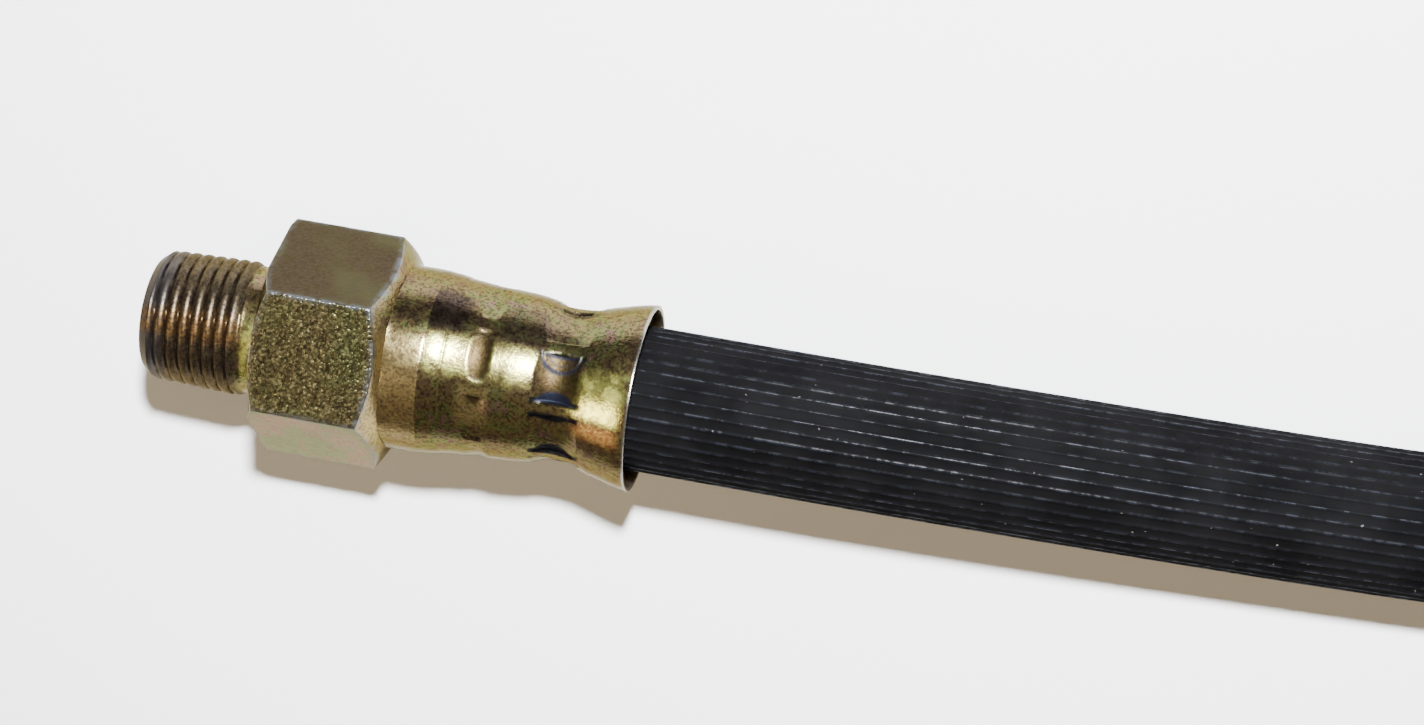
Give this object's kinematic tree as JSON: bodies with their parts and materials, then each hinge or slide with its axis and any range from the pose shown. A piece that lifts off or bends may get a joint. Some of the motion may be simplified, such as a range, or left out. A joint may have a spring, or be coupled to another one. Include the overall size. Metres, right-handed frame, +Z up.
{
  "type": "brake hose",
  "caption": "Rubber hydraulic hose lying in a U, with a crimped hexagonal steel fitting at each end: a threaded male nose and a tapped female socket.",
  "frame": {"origin": "on the surface that the hose lies on, midway between the two end fittings", "axes": "+X along both fittings, from their outer ends towards the mouths that the hose leaves; +Y from the male fitting to the female one; +Z up from the surface"},
  "size_m": [0.1599, 0.1324, 0.015],
  "materials": {
    "yellow_plated_steel": "yellow chromate over zinc, satin, with green, red and brown tints",
    "black_ribbed_rubber": "black rubber cover with fine ribs along it, low sheen, dusty"
  },
  "bodies": {
    "root": {"male_end_fitting": "yellow_plated_steel", "female_end_fitting": "yellow_plated_steel", "rubber_hose": "black_ribbed_rubber"}
  },
  "joints": []
}
